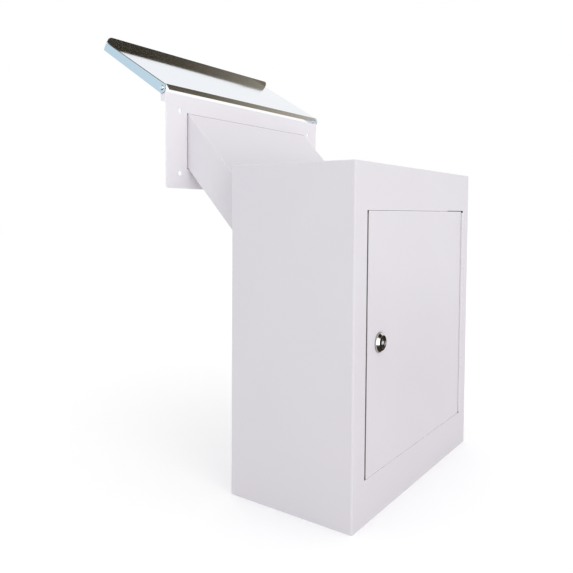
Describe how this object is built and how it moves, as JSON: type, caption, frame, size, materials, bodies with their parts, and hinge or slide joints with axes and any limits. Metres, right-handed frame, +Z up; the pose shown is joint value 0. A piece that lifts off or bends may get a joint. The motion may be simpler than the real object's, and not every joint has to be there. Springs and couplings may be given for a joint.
{
  "type": "through-wall book drop box",
  "caption": "Wall-mounted return box: a white steel cabinet with a locking door, fed by a sloping chute from a lidded mouth on the wall's far side.",
  "frame": {"origin": "middle of the cabinet's underside", "axes": "+Z up, -Y out of the door, +Y towards the wall plate and the lid, +X towards the door's hinge"},
  "size_m": [0.3622, 0.3996, 0.5843],
  "materials": {
    "powder_coat": "satin white powder coat with a fine orange peel",
    "stainless": "finely brushed stainless steel, near mirror on its folded edges",
    "chrome": "bright chrome plate",
    "zinc": "bright zinc plate",
    "rivet": "plain aluminium"
  },
  "bodies": {
    "cabinet": {"cabinet_wrapper": "powder_coat", "top_panel": "powder_coat", "bottom_panel": "powder_coat", "back_panel": "powder_coat", "door_stop_frame": "powder_coat", "chute_collar": "powder_coat", "chute_screw_left": "zinc", "chute_screw_right": "zinc", "hinge_leaf_frame": "powder_coat", "hinge_pin": "zinc", "frame_rivet_1": "rivet", "frame_rivet_2": "rivet", "frame_rivet_3": "rivet", "frame_rivet_4": "rivet"},
    "door": {"door_panel": "powder_coat", "hinge_leaf_door": "powder_coat", "door_rivet_1": "rivet", "door_rivet_2": "rivet", "door_rivet_3": "rivet", "door_rivet_4": "rivet", "lock_housing": "chrome", "lock_nut": "zinc"},
    "lock_core": {"lock_plug": "chrome", "lock_cam": "zinc", "cam_washer": "zinc", "cam_screw": "zinc"},
    "chute": {"chute_duct": "powder_coat", "wall_plate": "powder_coat"},
    "lid": {"lid_panel": "stainless", "lid_rivet_left": "stainless", "lid_rivet_right": "stainless"}
  },
  "joints": [
    {"name": "door_hinge", "type": "hinge", "parent": "cabinet", "child": "door", "pos_m": [0.14475, -0.084, 0.199], "axis": [0, 0, 1], "range_deg": [0, 170]},
    {"name": "lock_turn", "type": "hinge", "parent": "door", "child": "lock_core", "pos_m": [-0.113, -0.084, 0.1985], "axis": [0, 1, 0], "range_deg": [0, 90]},
    {"name": "chute_slide", "type": "slide", "parent": "cabinet", "child": "chute", "axis": [0, 0.6921, 0.7218], "range_m": [-0.03, 0.03]},
    {"name": "lid_hinge", "type": "hinge", "parent": "chute", "child": "lid", "pos_m": [0, 0.1968, 0.5032], "axis": [1, 0, 0], "range_deg": [-121.1, 0]}
  ]
}
